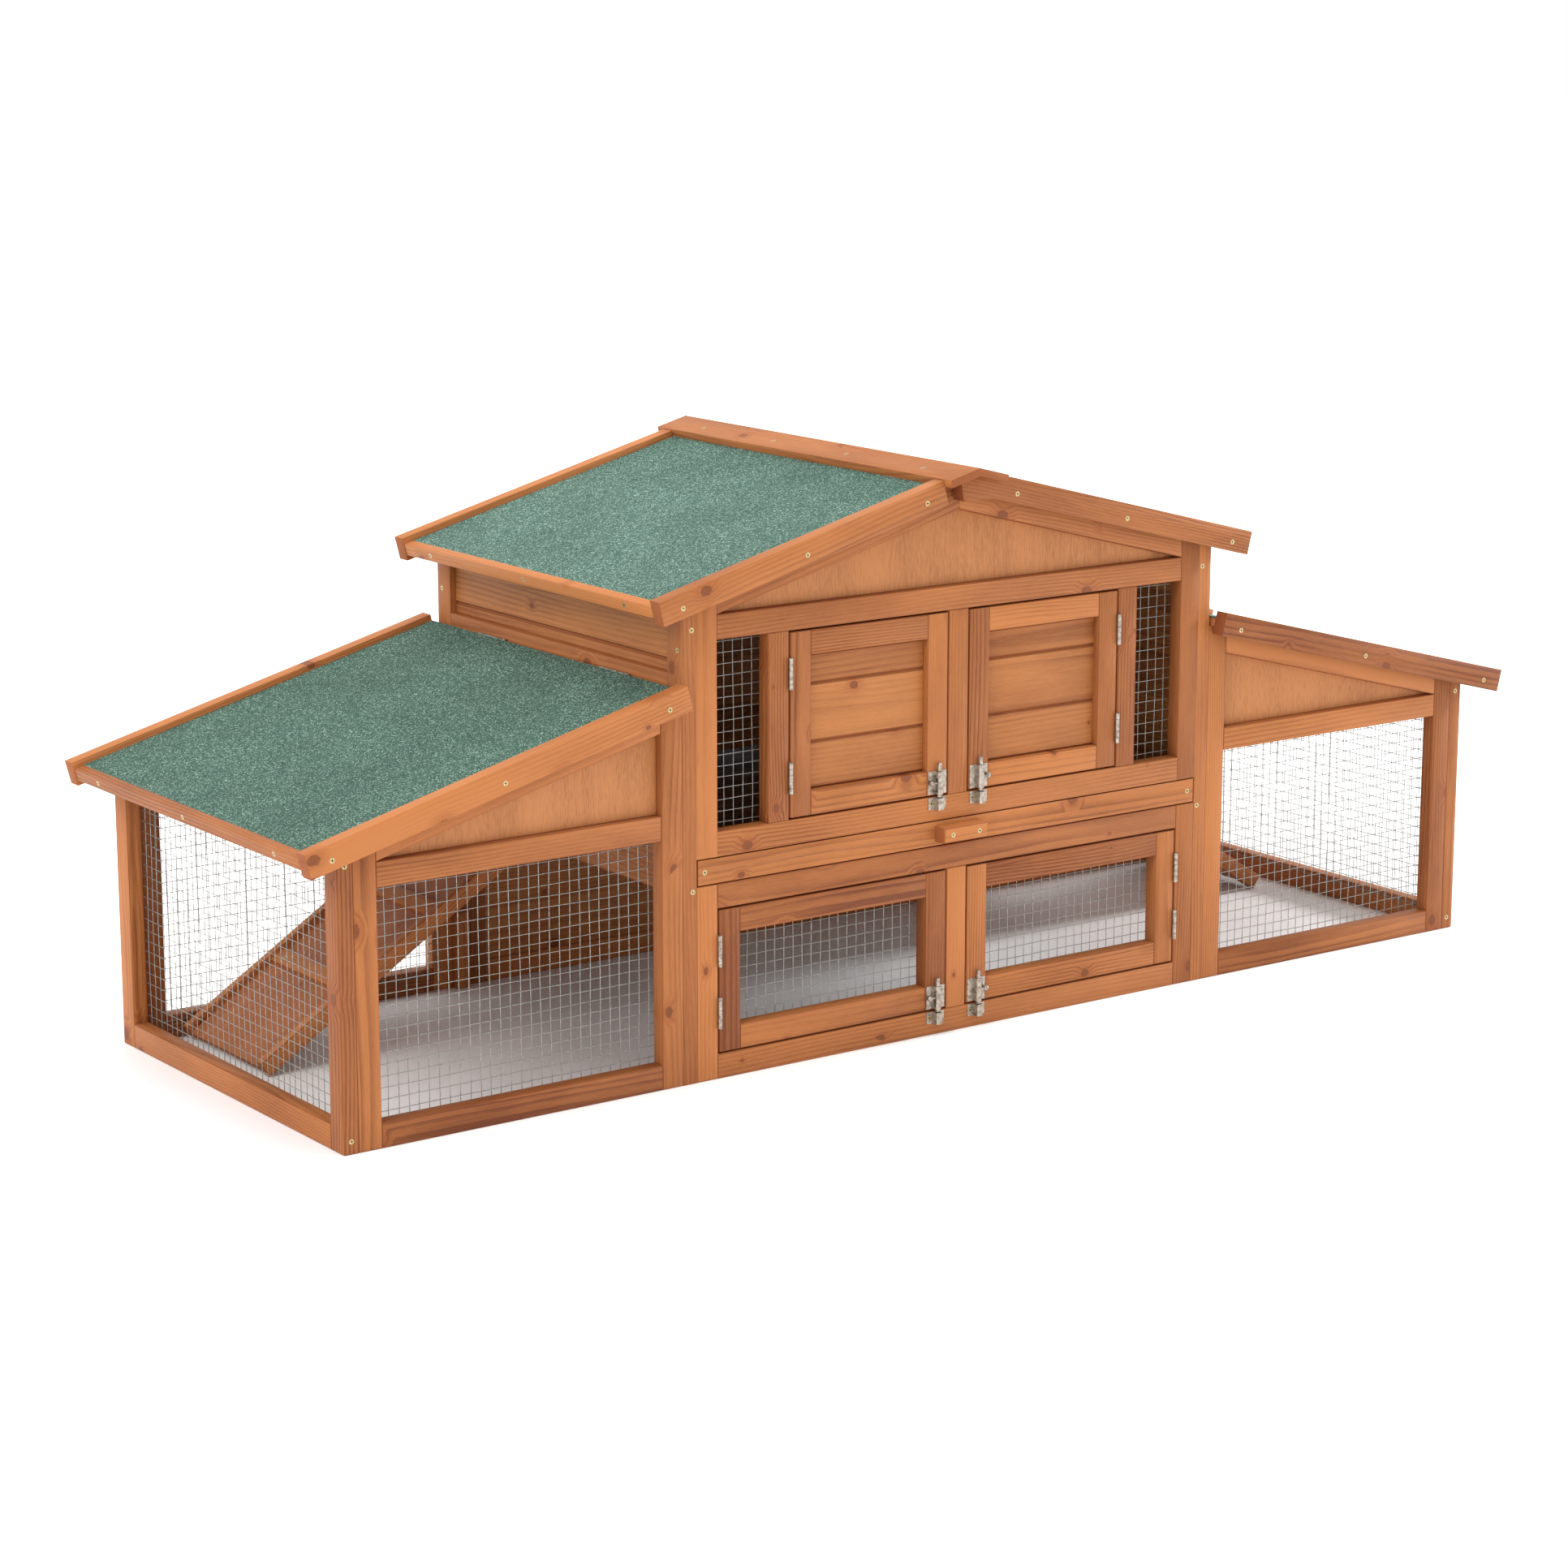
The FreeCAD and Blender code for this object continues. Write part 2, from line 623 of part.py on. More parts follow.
def bolt_keeper(side, low):
    """Strap bent square over a small plate, which the rod drops into."""
    zs = (low, low + KEEPER_H)
    mid = side * BOLT_U
    front = FACE_Y - ROD_LIFT - ROD_R - KEEPER_FIT
    inner = ROD_R + KEEPER_FIT
    outer = inner + STRAP_T
    plate = block((mid - KEEPER_W / 2, mid + KEEPER_W / 2), (FACE_Y, FACE_Y - PLATE_T), zs)
    strap = block((mid - outer, mid + outer), (FACE_Y, front - STRAP_T), zs)
    bends = [e for e in strap.Edges if e.BoundBox.ZLength > KEEPER_H / 2 and e.BoundBox.YMax < front]
    strap = strap.makeFillet(STRAP_T, bends)
    way = block((mid - inner, mid + inner), (FACE_Y - PLATE_T, front), zs)
    return plate.fuse(strap.cut(way)).removeSplitter().Solids[0]


def tower_bolt(side, zs):
    """Plate, keeper, bolt and the screws of the plate and of the keeper."""
    low = zs[0] + PLATE_UP
    knob_z = low + PLATE_H / 2
    half = STEM_R + ROD_FIT
    slot = (knob_z - BOLT_DOWN - half, knob_z + BOLT_UP + half)
    plate = bolt_housing(side, low, slot)
    keeper_top = zs[0] - KEEPER_DOWN
    keeper = bolt_keeper(side, keeper_top - KEEPER_H)
    mid = side * BOLT_U
    axis_y = FACE_Y - ROD_LIFT
    rod = Part.makeCylinder(ROD_R, ROD_L, FreeCAD.Vector(BOLT_U, axis_y, keeper_top + ROD_CLEAR), Z)
    stem = Part.makeCylinder(STEM_R, KNOB_OUT, FreeCAD.Vector(BOLT_U, axis_y, knob_z), X)
    ball = Part.makeSphere(KNOB_R, FreeCAD.Vector(BOLT_U + KNOB_OUT, axis_y, knob_z))
    bolt = rod.fuse([stem, ball]).removeSplitter().Solids[0]
    if side < 0:
        bolt = bolt.mirror(FreeCAD.Vector(), X)
    inset = (PLATE_W / 2 - BARREL_R) / 2
    columns = (mid - PLATE_W / 2 + inset, mid + PLATE_W / 2 - inset)
    plate_screws = bolt_screws(columns, (low + inset, low + PLATE_H - inset))
    keeper_screws = bolt_screws(columns, (keeper_top - KEEPER_H / 2,))
    return plate, keeper, bolt, plate_screws, keeper_screws


def bolt_screws(columns, rows):
    spots = [FreeCAD.Vector(x, FACE_Y - PLATE_T, z) for x in columns for z in rows]
    return [screw(spot, Y, SHORT_SCREW_L, SMALL_SCALE) for spot in spots]


TRAY_Z = (LOWER_FRAME_TOP + TRAY_GAP, UPPER_FRAME_BOTTOM - TRAY_GAP)


def tray():
    """Front rail, handle, sheet pan and screws."""
    mid = (TRAY_Z[0] + TRAY_Z[1]) / 2
    rail_half = WALL_INNER - TRAY_SIDE_GAP
    rail = block((-rail_half, rail_half), FRONT, TRAY_Z)
    half = HANDLE_S / 2
    handle = block((-HANDLE_W / 2, HANDLE_W / 2), (FACE_Y - HANDLE_S, FACE_Y), (mid - half, mid + half))
    outer = [e for e in handle.Edges if e.BoundBox.YMax < FACE_Y - half]
    handle = handle.makeFillet(HANDLE_EASE, outer)
    pan_half = WALL_INNER - PAN_SIDE_GAP
    ys = (-HALF + STICK_T, -HALF + STICK_T + PAN_LENGTH)
    low = TRAY_Z[0] + PAN_LIFT
    pan = block((-pan_half, pan_half), ys, (low, low + PAN_H))
    inside = pan_half - PAN_T
    hollow = block((-inside, inside), (ys[0] + PAN_T, ys[1] - PAN_T), (low + PAN_T, low + 2 * PAN_H))
    pan = pan.cut(hollow)
    screws = []
    for side in SIDES.values():
        at_handle = FreeCAD.Vector(side * HANDLE_SCREW_U, FACE_Y - HANDLE_S, mid)
        screws.append(screw(at_handle, Y, SCREW_L))
        at_end = FreeCAD.Vector(side * (rail_half - HANDLE_S / 2), FACE_Y, mid)
        screws.append(screw(at_end, Y, STICK_T + PAN_T))
    drill_groups = [[rail], [handle], [pan]]
    drill(drill_groups, screws)
    return drill_groups[0], drill_groups[1], drill_groups[2], screws


def tray_runners():
    inner = WALL_INNER - STICK_T
    z = (TRAY_Z[0] - STICK_T, TRAY_Z[0])
    reach = HALF - STICK_T
    return [block(span(side, inner, WALL_INNER), (-reach, reach), z) for side in SIDES.values()]


RAMP_COS = math.cos(math.radians(RAMP_SLOPE))
RAMP_SIN = math.sin(math.radians(RAMP_SLOPE))
RAMP_START = END - RAMP_FOOT
RAMP_STOP = WALL - RECESS
RAMP_LENGTH = (RAMP_START - RAMP_STOP) / RAMP_COS


def on_ramp(s, n):
    return RAMP_START - s * RAMP_COS + n * RAMP_SIN, s * RAMP_SIN + n * RAMP_COS


def ramp_strip(side, n0, n1, ys):
    """Strip of the ramp, square at the foot and upright at the wall."""
    ends = [(RAMP_START - RAMP_STOP + n * RAMP_SIN) / RAMP_COS for n in (n1, n0)]
    outline = [on_ramp(0, n0), on_ramp(0, n1), on_ramp(ends[0], n1), on_ramp(ends[1], n0)]
    return plate_xz(at_side(side, outline), ys)


def ramp(side):
    rails = [ramp_strip(side, 0, RAIL_H, (RAMP_Y[0], RAMP_Y[0] + RAIL_T))]
    rails.append(ramp_strip(side, 0, RAIL_H, (RAMP_Y[1] - RAIL_T, RAMP_Y[1])))
    y = (RAMP_Y[0] + RAIL_T, RAMP_Y[1] - RAIL_T)
    top = DECK_UNDER + DECK_T
    deck = [ramp_strip(side, DECK_UNDER, top, y)]
    cleats = []
    screws = []
    down = FreeCAD.Vector(-side * RAMP_SIN, 0, -RAMP_COS)
    for i in range(CLEAT_COUNT):
        centre = min((i + 1) * CLEAT_PITCH, RAMP_LENGTH - CLEAT_LAST_BACK)
        s = (centre - CLEAT_W / 2, centre + CLEAT_W / 2)
        crown = top + CLEAT_T
        outline = [on_ramp(s[0], top), on_ramp(s[1], top), on_ramp(s[1], crown), on_ramp(s[0], crown)]
        cleats.append(plate_xz(at_side(side, outline), y))
        u, z = on_ramp(centre, crown)
        for at in (y[0] + CLEAT_W, y[1] - CLEAT_W):
            screws.append(screw(FreeCAD.Vector(side * u, at, z), down, CLEAT_T + DECK_T, SMALL_SCALE))
    return deck, rails, cleats, screws


def trim_screws(place, side, starts, tip):
    """A row of screws through each barge board and one through the fascia."""
    out = FreeCAD.Vector(side * COS, 0, -SIN)
    screws = []
    near, far = starts
    fascia_reach = ROOF_HALF - FASCIA_SCREW_END
    for i in range(TRIM_SCREWS):
        share = i / (TRIM_SCREWS - 1)
        s = near + (far - near) * share
        u, z = place(s, (BARGE_LOW + BARGE_RISE) / 2 - HEAD_R)
        for end in FRONT_ENDS:
            point = FreeCAD.Vector(side * u, end * (ROOF_HALF + STICK_T), z)
            screws.append(screw(point, Y * -end, SCREW_L))
        u, z = place(tip - FASCIA_INSET, ROOF_TOP - FASCIA_W / 2)
        point = FreeCAD.Vector(side * u, fascia_reach * (2 * share - 1), z)
        screws.append(screw(point, out * -1, SCREW_L))
    return screws


def joint_screws():
    """Screws in the front and back edges of the frames and in the ridge cap."""
    screws = []
    rows = (
        (END - STICK_T / 2, (STICK_W / 2, RUN_RAIL_TOP)),
        (WALL_INNER + BOARD_T / 2, (SIDE_BOARD_BOTTOM + STICK_T / 2, UPPER_RAIL_TOP - STICK_W / 2)),
    )
    edge_z = UPPER_RAIL_TOP - STICK_W - MESH_LAP
    for side in SIDES.values():
        for end in FRONT_ENDS:
            for u, heights in rows:
                for z in heights:
                    head = FreeCAD.Vector(side * u, end * HALF, z)
                    screws.append(screw(head, Y * -end, SCREW_L + STICK_T))
            edge = FreeCAD.Vector(side * WALL, end * (HALF - STICK_T / 2), edge_z)
            screws.append(screw(edge, X * -side, SCREW_L))
    out = FreeCAD.Vector(SIN, 0, -COS)
    cap_reach = HALF - CAP_SCREW_END
    for i in range(CAP_SCREWS):
        u, z = on_house(CAP_W / 2, ROOF_TOP + CAP_T)
        y = cap_reach * (2 * i / (CAP_SCREWS - 1) - 1)
        screws.append(screw(FreeCAD.Vector(-u, y, z), out, CAP_T + ROOF_BOARD_T))
    return screws


DOORS = {"upper": (UPPER_DOOR_OUTER, UPPER_DOOR_Z), "lower": (LOWER_DOOR_OUTER, LOWER_DOOR_Z)}
DRILLED = ("house", "upper_front", "lower_front", "back", "ridge", "ramp", "tray_run")


def build():
    nodes = {}
    nodes["house_side_frames"] = side_frames()
    nodes["house_side_boards"] = side_boards()
    nodes["upper_front_frame"] = upper_front()
    nodes["lower_front_frame"] = lower_front()
    nodes["upper_window_mesh"] = window_mesh()
    nodes["back_frame"] = upper_panel(1, 0)
    nodes["back_boards"] = back_boards()
    nodes["gable_panels"] = gable_sheets()
    nodes["tray_runners"] = tray_runners()
    nodes["roof_hinge_battens"] = battens()
    boards, felt, fascias, caps = house_roof()
    nodes["house_roof_boards"] = boards
    nodes["house_roof_felt"] = felt
    nodes["house_eave_fascias"] = fascias
    nodes["house_barge_boards"] = house_barges()
    nodes["ridge_cap"] = caps
    fixed_leaves = []
    pins = []
    keepers = []
    screws = joint_screws()
    ramps = {"ramp_decks": [], "ramp_side_rails": [], "ramp_cleats": []}
    for name, side in SIDES.items():
        nodes[name + "_run_frame"] = run_frame(side)
        nodes[name + "_run_mesh"] = run_mesh(side)
        deck, rails, cleats, cleat_screws = ramp(side)
        ramps["ramp_decks"] += deck
        ramps["ramp_side_rails"] += rails
        ramps["ramp_cleats"] += cleats
        screws += cleat_screws
        screws += trim_screws(on_house, side, (CAP_W + STICK_W, HOUSE_TIP - STICK_W), HOUSE_TIP)
        board, felt, trim = run_roof(side)
        fixed, moving, roof_pins = roof_hinges(side)
        fixed_leaves += fixed
        pins += roof_pins
        roof_screws = trim_screws(on_run, side, (RUN_START + STICK_W, RUN_TIP - STICK_W), RUN_TIP)
        drill([board, felt, trim], roof_screws)
        nodes[name + "_roof_board"] = board
        nodes[name + "_roof_felt"] = felt
        nodes[name + "_roof_trim"] = trim
        nodes[name + "_roof_hinge_leaves"] = moving
        nodes[name + "_roof_screws"] = roof_screws
        for level, (outer, zs) in DOORS.items():
            door = level + "_" + name + "_door"
            fixed, moving, door_pins = door_hinges(side, outer, zs)
            fixed_leaves += fixed
            pins += door_pins
            plate, keeper, bolt, plate_screws, keeper_screws = tower_bolt(side, zs)
            frame = door_frame(side, outer, zs)
            holder = [plate]
            drill([frame, holder], plate_screws)
            seat = [keeper]
            drill([seat], keeper_screws)
            keepers += seat
            screws += keeper_screws
            nodes[door + "_frame"] = frame
            if level == "upper":
                nodes[door + "_boards"] = door_boards(side)
            else:
                nodes[door + "_mesh"] = door_mesh(side)
            nodes[door + "_hinge_leaves"] = moving
            nodes[door + "_bolt_plate"] = holder + plate_screws
            nodes[level + "_" + name + "_bolt"] = [bolt]
    nodes.update(ramps)
    nodes["bolt_keepers"] = keepers
    nodes["fixed_hinge_leaves"] = fixed_leaves
    nodes["hinge_pins"] = pins
    wooden = [n for n in nodes if n.startswith(DRILLED)] + ["left_run_frame", "right_run_frame"]
    drill([nodes[n] for n in wooden], screws)
    nodes["hutch_screws"] = screws
    rail, handle, pan, tray_screws = tray()
    nodes["tray_front_rail"] = rail
    nodes["tray_handle"] = handle
    nodes["tray_pan"] = pan
    nodes["tray_screws"] = tray_screws
    return nodes


os.makedirs("parts", exist_ok=True)
for node, solids in build().items():
    shape = solids[0] if len(solids) == 1 else Part.makeCompound(solids)
    shape.exportStep("parts/" + node + ".step")
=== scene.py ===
import json
import math
import random

import bpy
from mathutils import Matrix, Vector


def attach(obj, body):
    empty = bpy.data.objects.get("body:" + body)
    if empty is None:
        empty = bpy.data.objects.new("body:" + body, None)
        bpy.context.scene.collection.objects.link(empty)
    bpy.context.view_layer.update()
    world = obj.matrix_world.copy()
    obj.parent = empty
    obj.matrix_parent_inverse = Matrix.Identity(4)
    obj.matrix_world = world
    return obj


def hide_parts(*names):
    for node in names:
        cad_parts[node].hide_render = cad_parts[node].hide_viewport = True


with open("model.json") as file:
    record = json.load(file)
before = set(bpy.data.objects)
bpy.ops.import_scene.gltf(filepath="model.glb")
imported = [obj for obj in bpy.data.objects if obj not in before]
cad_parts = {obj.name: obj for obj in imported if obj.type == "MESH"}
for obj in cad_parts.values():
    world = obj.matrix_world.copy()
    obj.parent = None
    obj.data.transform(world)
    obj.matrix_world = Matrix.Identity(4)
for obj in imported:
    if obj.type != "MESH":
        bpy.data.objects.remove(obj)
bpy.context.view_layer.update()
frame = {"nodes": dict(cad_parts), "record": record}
random.seed(11)

MM = 0.001

# slopes that sticks and boards lie at, in degrees about Y
ROOF_SLOPE = 14.5
RAMP_SLOPE = 32.0
LIES = (0.0, ROOF_SLOPE, -ROOF_SLOPE, RAMP_SLOPE, -RAMP_SLOPE)

EDGE_ROUND = 0.9 * MM
MESH_PITCH = 12.7 * MM
WIRE_R = 0.44 * MM
WIRE_BOW = 0.3 * MM
WIRE_CUTS = 16
WIRE_SIDES = 6
# each layer of wires lies this share of a wire's radius from the middle of the sheet
WIRE_OFFSET = 0.9
# waves of a wire to its side, in radians per metre along it and per row,
# and out of the sheet, in radians per metre along it and across it
SWAY_WAVES = ((47, 1.7), (19, 0.9))
LEAN_WAVES = ((23, 31), (11, -17))

# how strongly painted shade darkens the rounded edges, to draw the seams between pieces, from 0 to 1
PAINTED_SEAM_SHADE = 1.0
# cosines: a face that looks this far along the stick is end grain,
# and one that looks less far than this along every axis is a rounded edge
END_GRAIN_FACING = 0.8
FLAT_FACING = 0.97
# how far the grain of one piece may be from that of the next, in metres
GRAIN_SHIFT = 9

# angles in degrees: faces merged before the bevel, edges bevelled, faces shaded smooth
MERGE_ANGLE = 1.0
BEVEL_ANGLE = 50
BEVEL_CUTS = 2
PLANED_SMOOTH = 35
WIRE_SMOOTH = 70

# knots: cells of the grid per metre, then which cells hold one and how large it gets
KNOT_CELLS = (6.5, 22.0, 1.5)
KNOT_CHANCE = (0.48, 0.92)
KNOT_R = 6.0 * MM

# each light: name, direction that it comes from, spread in degrees, strength
SUNS = (
    ("key", (-0.8, -0.12, 0.7), 35, 1.45),
    ("top", (0.0, 0.05, 1.0), 50, 1.2),
    ("side", (0.94, 0.0, 0.34), 12, 4.2),
)
FLOOR_SIZE = 40
FLOOR_Z = -0.2 * MM

SENSOR_WIDTH = 36
LENS = 87.63
CAMERA_PLACE = (-2.6534, -3.6195, 1.2471)
# degrees: down from level, and from facing straight back towards +X
CAMERA_DOWN = 12.57
CAMERA_TURN = 35.62


def linear(value):
    """Linear light from a usual 0 to 255 value."""
    share = value / 255
    return share / 12.92 if share <= 0.04045 else ((share + 0.055) / 1.055) ** 2.4


def srgb(r, g, b):
    """Linear colour from the usual 0 to 255 values."""
    return (linear(r), linear(g), linear(b), 1)


# ---------------------------------------------------------------- shader helpers


def add(tree, kind, inputs=None, **settings):
    """A node with its settings, whose inputs are values or the outputs of other nodes."""
    node = tree.nodes.new(kind)
    for name, value in settings.items():
        setattr(node, name, value)
    for key, value in (inputs or {}).items():
        socket = node.inputs[key]
        if isinstance(value, bpy.types.NodeSocket):
            tree.links.new(value, socket)
        else:
            socket.default_value = value
    return node


def calc(tree, operation, *values, clamp=False):
    node = add(tree, "ShaderNodeMath", dict(enumerate(values)), operation=operation, use_clamp=clamp)
    return node.outputs[0]


def vmath(tree, operation, a, b=None, scale=None):
    inputs = {0: a}
    if b is not None:
        inputs[1] = b
    if scale is not None:
        inputs["Scale"] = scale
    node = add(tree, "ShaderNodeVectorMath", inputs, operation=operation)
    return node.outputs["Value" if operation in ("LENGTH", "DISTANCE", "DOT_PRODUCT") else "Vector"]


def mix(tree, factor, a, b, blend="MIX"):
    node = add(tree, "ShaderNodeMix", {"Factor": factor}, data_type="RGBA", blend_type=blend)
    for socket, value in ((node.inputs[6], a), (node.inputs[7], b)):
        if isinstance(value, bpy.types.NodeSocket):
            tree.links.new(value, socket)
        else:
            socket.default_value = value
    return node.outputs[2]


def fade(tree, value, low, high, to_low=0.0, to_high=1.0):
    """value runs from low to high; the result from to_low to to_high, smoothly."""
    inputs = {0: value, 1: low, 2: high, 3: to_low, 4: to_high}
    node = add(tree, "ShaderNodeMapRange", inputs, interpolation_type="SMOOTHSTEP")
    return node.outputs[0]


def noise(tree, vector, scale, detail=2.0, roughness=0.5):
    inputs = {"Vector": vector, "Scale": scale, "Detail": detail, "Roughness": roughness}
    return add(tree, "ShaderNodeTexNoise", inputs).outputs["Fac"]


def nudge(tree, total, value, amount):
    """total, moved by amount times what value is over a half."""
    return calc(tree, "ADD", total, calc(tree, "MULTIPLY", calc(tree, "SUBTRACT", value, 0.5), amount))


def new_group(name, inputs, outputs):
    tree = bpy.data.node_groups.new(name, "ShaderNodeTree")
    for label, kind, value in inputs:
        socket = tree.interface.new_socket(label, in_out="INPUT", socket_type="NodeSocket" + kind)
        if value is not None:
            socket.default_value = value
    for label, kind in outputs:
        tree.interface.new_socket(label, in_out="OUTPUT", socket_type="NodeSocket" + kind)
    return tree, tree.nodes.new("NodeGroupInput").outputs, tree.nodes.new("NodeGroupOutput").inputs


# ---------------------------------------------------------------- timber


def timber_group():
    """Stained softwood: rings, fibres, knots, blotches, darker end grain and painted seam shade on rounded
    edges.
    """
    tree, given, out = new_group(
        "Timber",
        [
            ("Grain", "Vector", None),
            ("Piece", "Vector", None),
            ("Light", "Color", None),
            ("Dark", "Color", None),
            ("Ring Spacing", "Float", 3.2 * MM),
            ("Ring Strength", "Float", 0.5),
            ("Knots", "Float", 1.0),
            ("Variation", "Float", 0.35),
            ("Pores", "Float", 0.3),
        ],
        [("Color", "Color"), ("Roughness", "Float"), ("Height", "Float")],
    )
    grain = given["Grain"]
    piece = add(tree, "ShaderNodeSeparateXYZ", {0: given["Piece"]}).outputs
    tone, end_grain_and_seam_shade, luck = piece[0], piece[1], piece[2]

    # knots: one possible place in every cell of a stretched grid
    stretched = vmath(tree, "MULTIPLY", grain, KNOT_CELLS)
    cell = add(
        tree,
        "ShaderNodeTexVoronoi",
        {"Vector": stretched, "Scale": 1.0, "Randomness": 0.9},
        voronoi_dimensions="3D",
    ).outputs
    away = vmath(tree, "DIVIDE", vmath(tree, "SUBTRACT", stretched, cell["Position"]), KNOT_CELLS)
    away = vmath(tree, "MULTIPLY", away, (0.75, 1.0, 0.0))
    reach = vmath(tree, "LENGTH", away)
    chance = add(tree, "ShaderNodeSeparateColor", {0: cell["Color"]}).outputs
    size = calc(tree, "MULTIPLY", fade(tree, chance[0], *KNOT_CHANCE, 0.0, KNOT_R), given["Knots"])
    wobble = calc(tree, "SUBTRACT", noise(tree, grain, 320.0, 3.0), 0.45)
    ragged = calc(tree, "ADD", reach, calc(tree, "MULTIPLY", wobble, 3.0 * MM))
    ratio = calc(tree, "DIVIDE", ragged, calc(tree, "ADD", size, 0.05 * MM))
    knot = calc(tree, "SUBTRACT", 1.0, fade(tree, ratio, 0.85, 1.15))
    halo = calc(tree, "SUBTRACT", 1.0, fade(tree, ratio, 1.0, 3.2))

    # growth rings about a heart that wanders beside the stick and bends round knots
    slow = vmath(tree, "MULTIPLY", grain, (2.2, 9.0, 9.0))
    wander = calc(tree, "MULTIPLY", calc(tree, "SUBTRACT", noise(tree, slow, 1.0, 1.5), 0.5), 34.0 * MM)
    across = add(tree, "ShaderNodeSeparateXYZ", {0: grain}).outputs
    sideways = calc(tree, "ADD", calc(tree, "PINGPONG", across[1], 0.06), wander)
    offset = calc(tree, "MULTIPLY", luck, 20.0 * MM)
    depth = calc(tree, "ADD", calc(tree, "PINGPONG", across[2], 0.05), offset)
    squares = calc(tree, "ADD", calc(tree, "POWER", sideways, 2.0), calc(tree, "POWER", depth, 2.0))
    radius = calc(tree, "SQRT", squares)
    radius = calc(tree, "ADD", radius, calc(tree, "MULTIPLY", halo, calc(tree, "MULTIPLY", size, 0.8)))
    turns = calc(tree, "DIVIDE", radius, given["Ring Spacing"])
    saw = calc(tree, "FRACT", turns)
    closing = calc(tree, "SUBTRACT", 1.0, fade(tree, saw, 0.9, 1.0))
    ring = calc(tree, "MULTIPLY", fade(tree, saw, 0.35, 0.88), closing)
    patch = noise(tree, vmath(tree, "MULTIPLY", grain, (3.0, 14.0, 14.0)), 1.0, 2.0)
    ring = calc(tree, "MULTIPLY", ring, fade(tree, patch, 0.3, 0.7, 0.25, 1.0))

    fibre = noise(tree, vmath(tree, "MULTIPLY", grain, (22.0, 900.0, 900.0)), 1.0, 3.0, 0.6)
    pore = noise(tree, vmath(tree, "MULTIPLY", grain, (95.0, 750.0, 750.0)), 1.0, 2.0, 0.6)
    blotch = noise(tree, vmath(tree, "MULTIPLY", grain, (5.0, 16.0, 16.0)), 1.0, 3.0)

    shade = calc(tree, "MULTIPLY", ring, given["Ring Strength"])
    shade = nudge(tree, shade, fibre, 0.5)
    shade = nudge(tree, shade, blotch, 0.9)
    shade = nudge(tree, shade, tone, given["Variation"])
    shade = nudge(tree, shade, pore, given["Pores"])
    shade = calc(tree, "ADD", shade, 0.28, clamp=True)
    colour = mix(tree, shade, given["Light"], given["Dark"])
    colour = mix(tree, calc(tree, "MULTIPLY", halo, 0.4), colour, srgb(142, 74, 34))
    swirl = add(tree, "ShaderNodeTexNoise", {"Vector": grain, "Scale": 700.0, "Detail": 2.0}).outputs["Fac"]
    heart = mix(tree, swirl, srgb(70, 32, 14), srgb(142, 78, 40))
    colour = mix(tree, calc(tree, "MULTIPLY", knot, 0.82), colour, heart)
    # the end grain colour, also laid on rounded edges as painted shade that draws the seams between pieces
    cut_and_seam_shade = mix(tree, fibre, srgb(104, 50, 26), srgb(150, 84, 46))
    colour = mix(tree, calc(tree, "MULTIPLY", end_grain_and_seam_shade, 0.65), colour, cut_and_seam_shade)
    tree.links.new(colour, out["Color"])
    rough = calc(tree, "ADD", 0.46, calc(tree, "MULTIPLY", fibre, 0.2))
    tree.links.new(calc(tree, "ADD", rough, calc(tree, "MULTIPLY", end_grain_and_seam_shade, 0.2)), out["Roughness"])
    height = calc(tree, "ADD", calc(tree, "MULTIPLY", pore, 0.5), calc(tree, "MULTIPLY", fibre, 0.8))
    height = calc(tree, "SUBTRACT", height, calc(tree, "MULTIPLY", ring, 0.25))
    tree.links.new(calc(tree, "ADD", height, calc(tree, "MULTIPLY", knot, 0.5)), out["Height"])
    return tree


TIMBER = timber_group()


def new_material(name):
    material = bpy.data.materials.new(name)
    material.use_nodes = True
    tree = material.node_tree
    tree.nodes.clear()
    shader = tree.nodes.new("ShaderNodeBsdfPrincipled")
    output = tree.nodes.new("ShaderNodeOutputMaterial")
    tree.links.new(shader.outputs["BSDF"], output.inputs["Surface"])
    return material, tree, shader


def bump(tree, shader, height, distance):
    node = add(tree, "ShaderNodeBump", {"Height": height, "Distance": distance, "Strength": 1.0})
    tree.links.new(node.outputs["Normal"], shader.inputs["Normal"])


def attribute(tree, name):
    return add(tree, "ShaderNodeAttribute", attribute_name=name).outputs["Vector"]


def timber(name, light, dark, spacing=3.2, strength=0.5, knots=1.0, variation=0.35, pores=0.3, relief=0.12):
    material, tree, shader = new_material(name)
    values = {
        "Grain": attribute(tree, "grain"),
        "Piece": attribute(tree, "piece"),
        "Light": light,
        "Dark": dark,
        "Ring Spacing": spacing * MM,
        "Ring Strength": strength,
        "Knots": knots,
        "Variation": variation,
        "Pores": pores,
    }
    group = add(tree, "ShaderNodeGroup", values, node_tree=TIMBER)
    tree.links.new(group.outputs["Color"], shader.inputs["Base Color"])
    tree.links.new(group.outputs["Roughness"], shader.inputs["Roughness"])
    shader.inputs["Specular IOR Level"].default_value = 0.28
    bump(tree, shader, group.outputs["Height"], relief * MM)
    return material


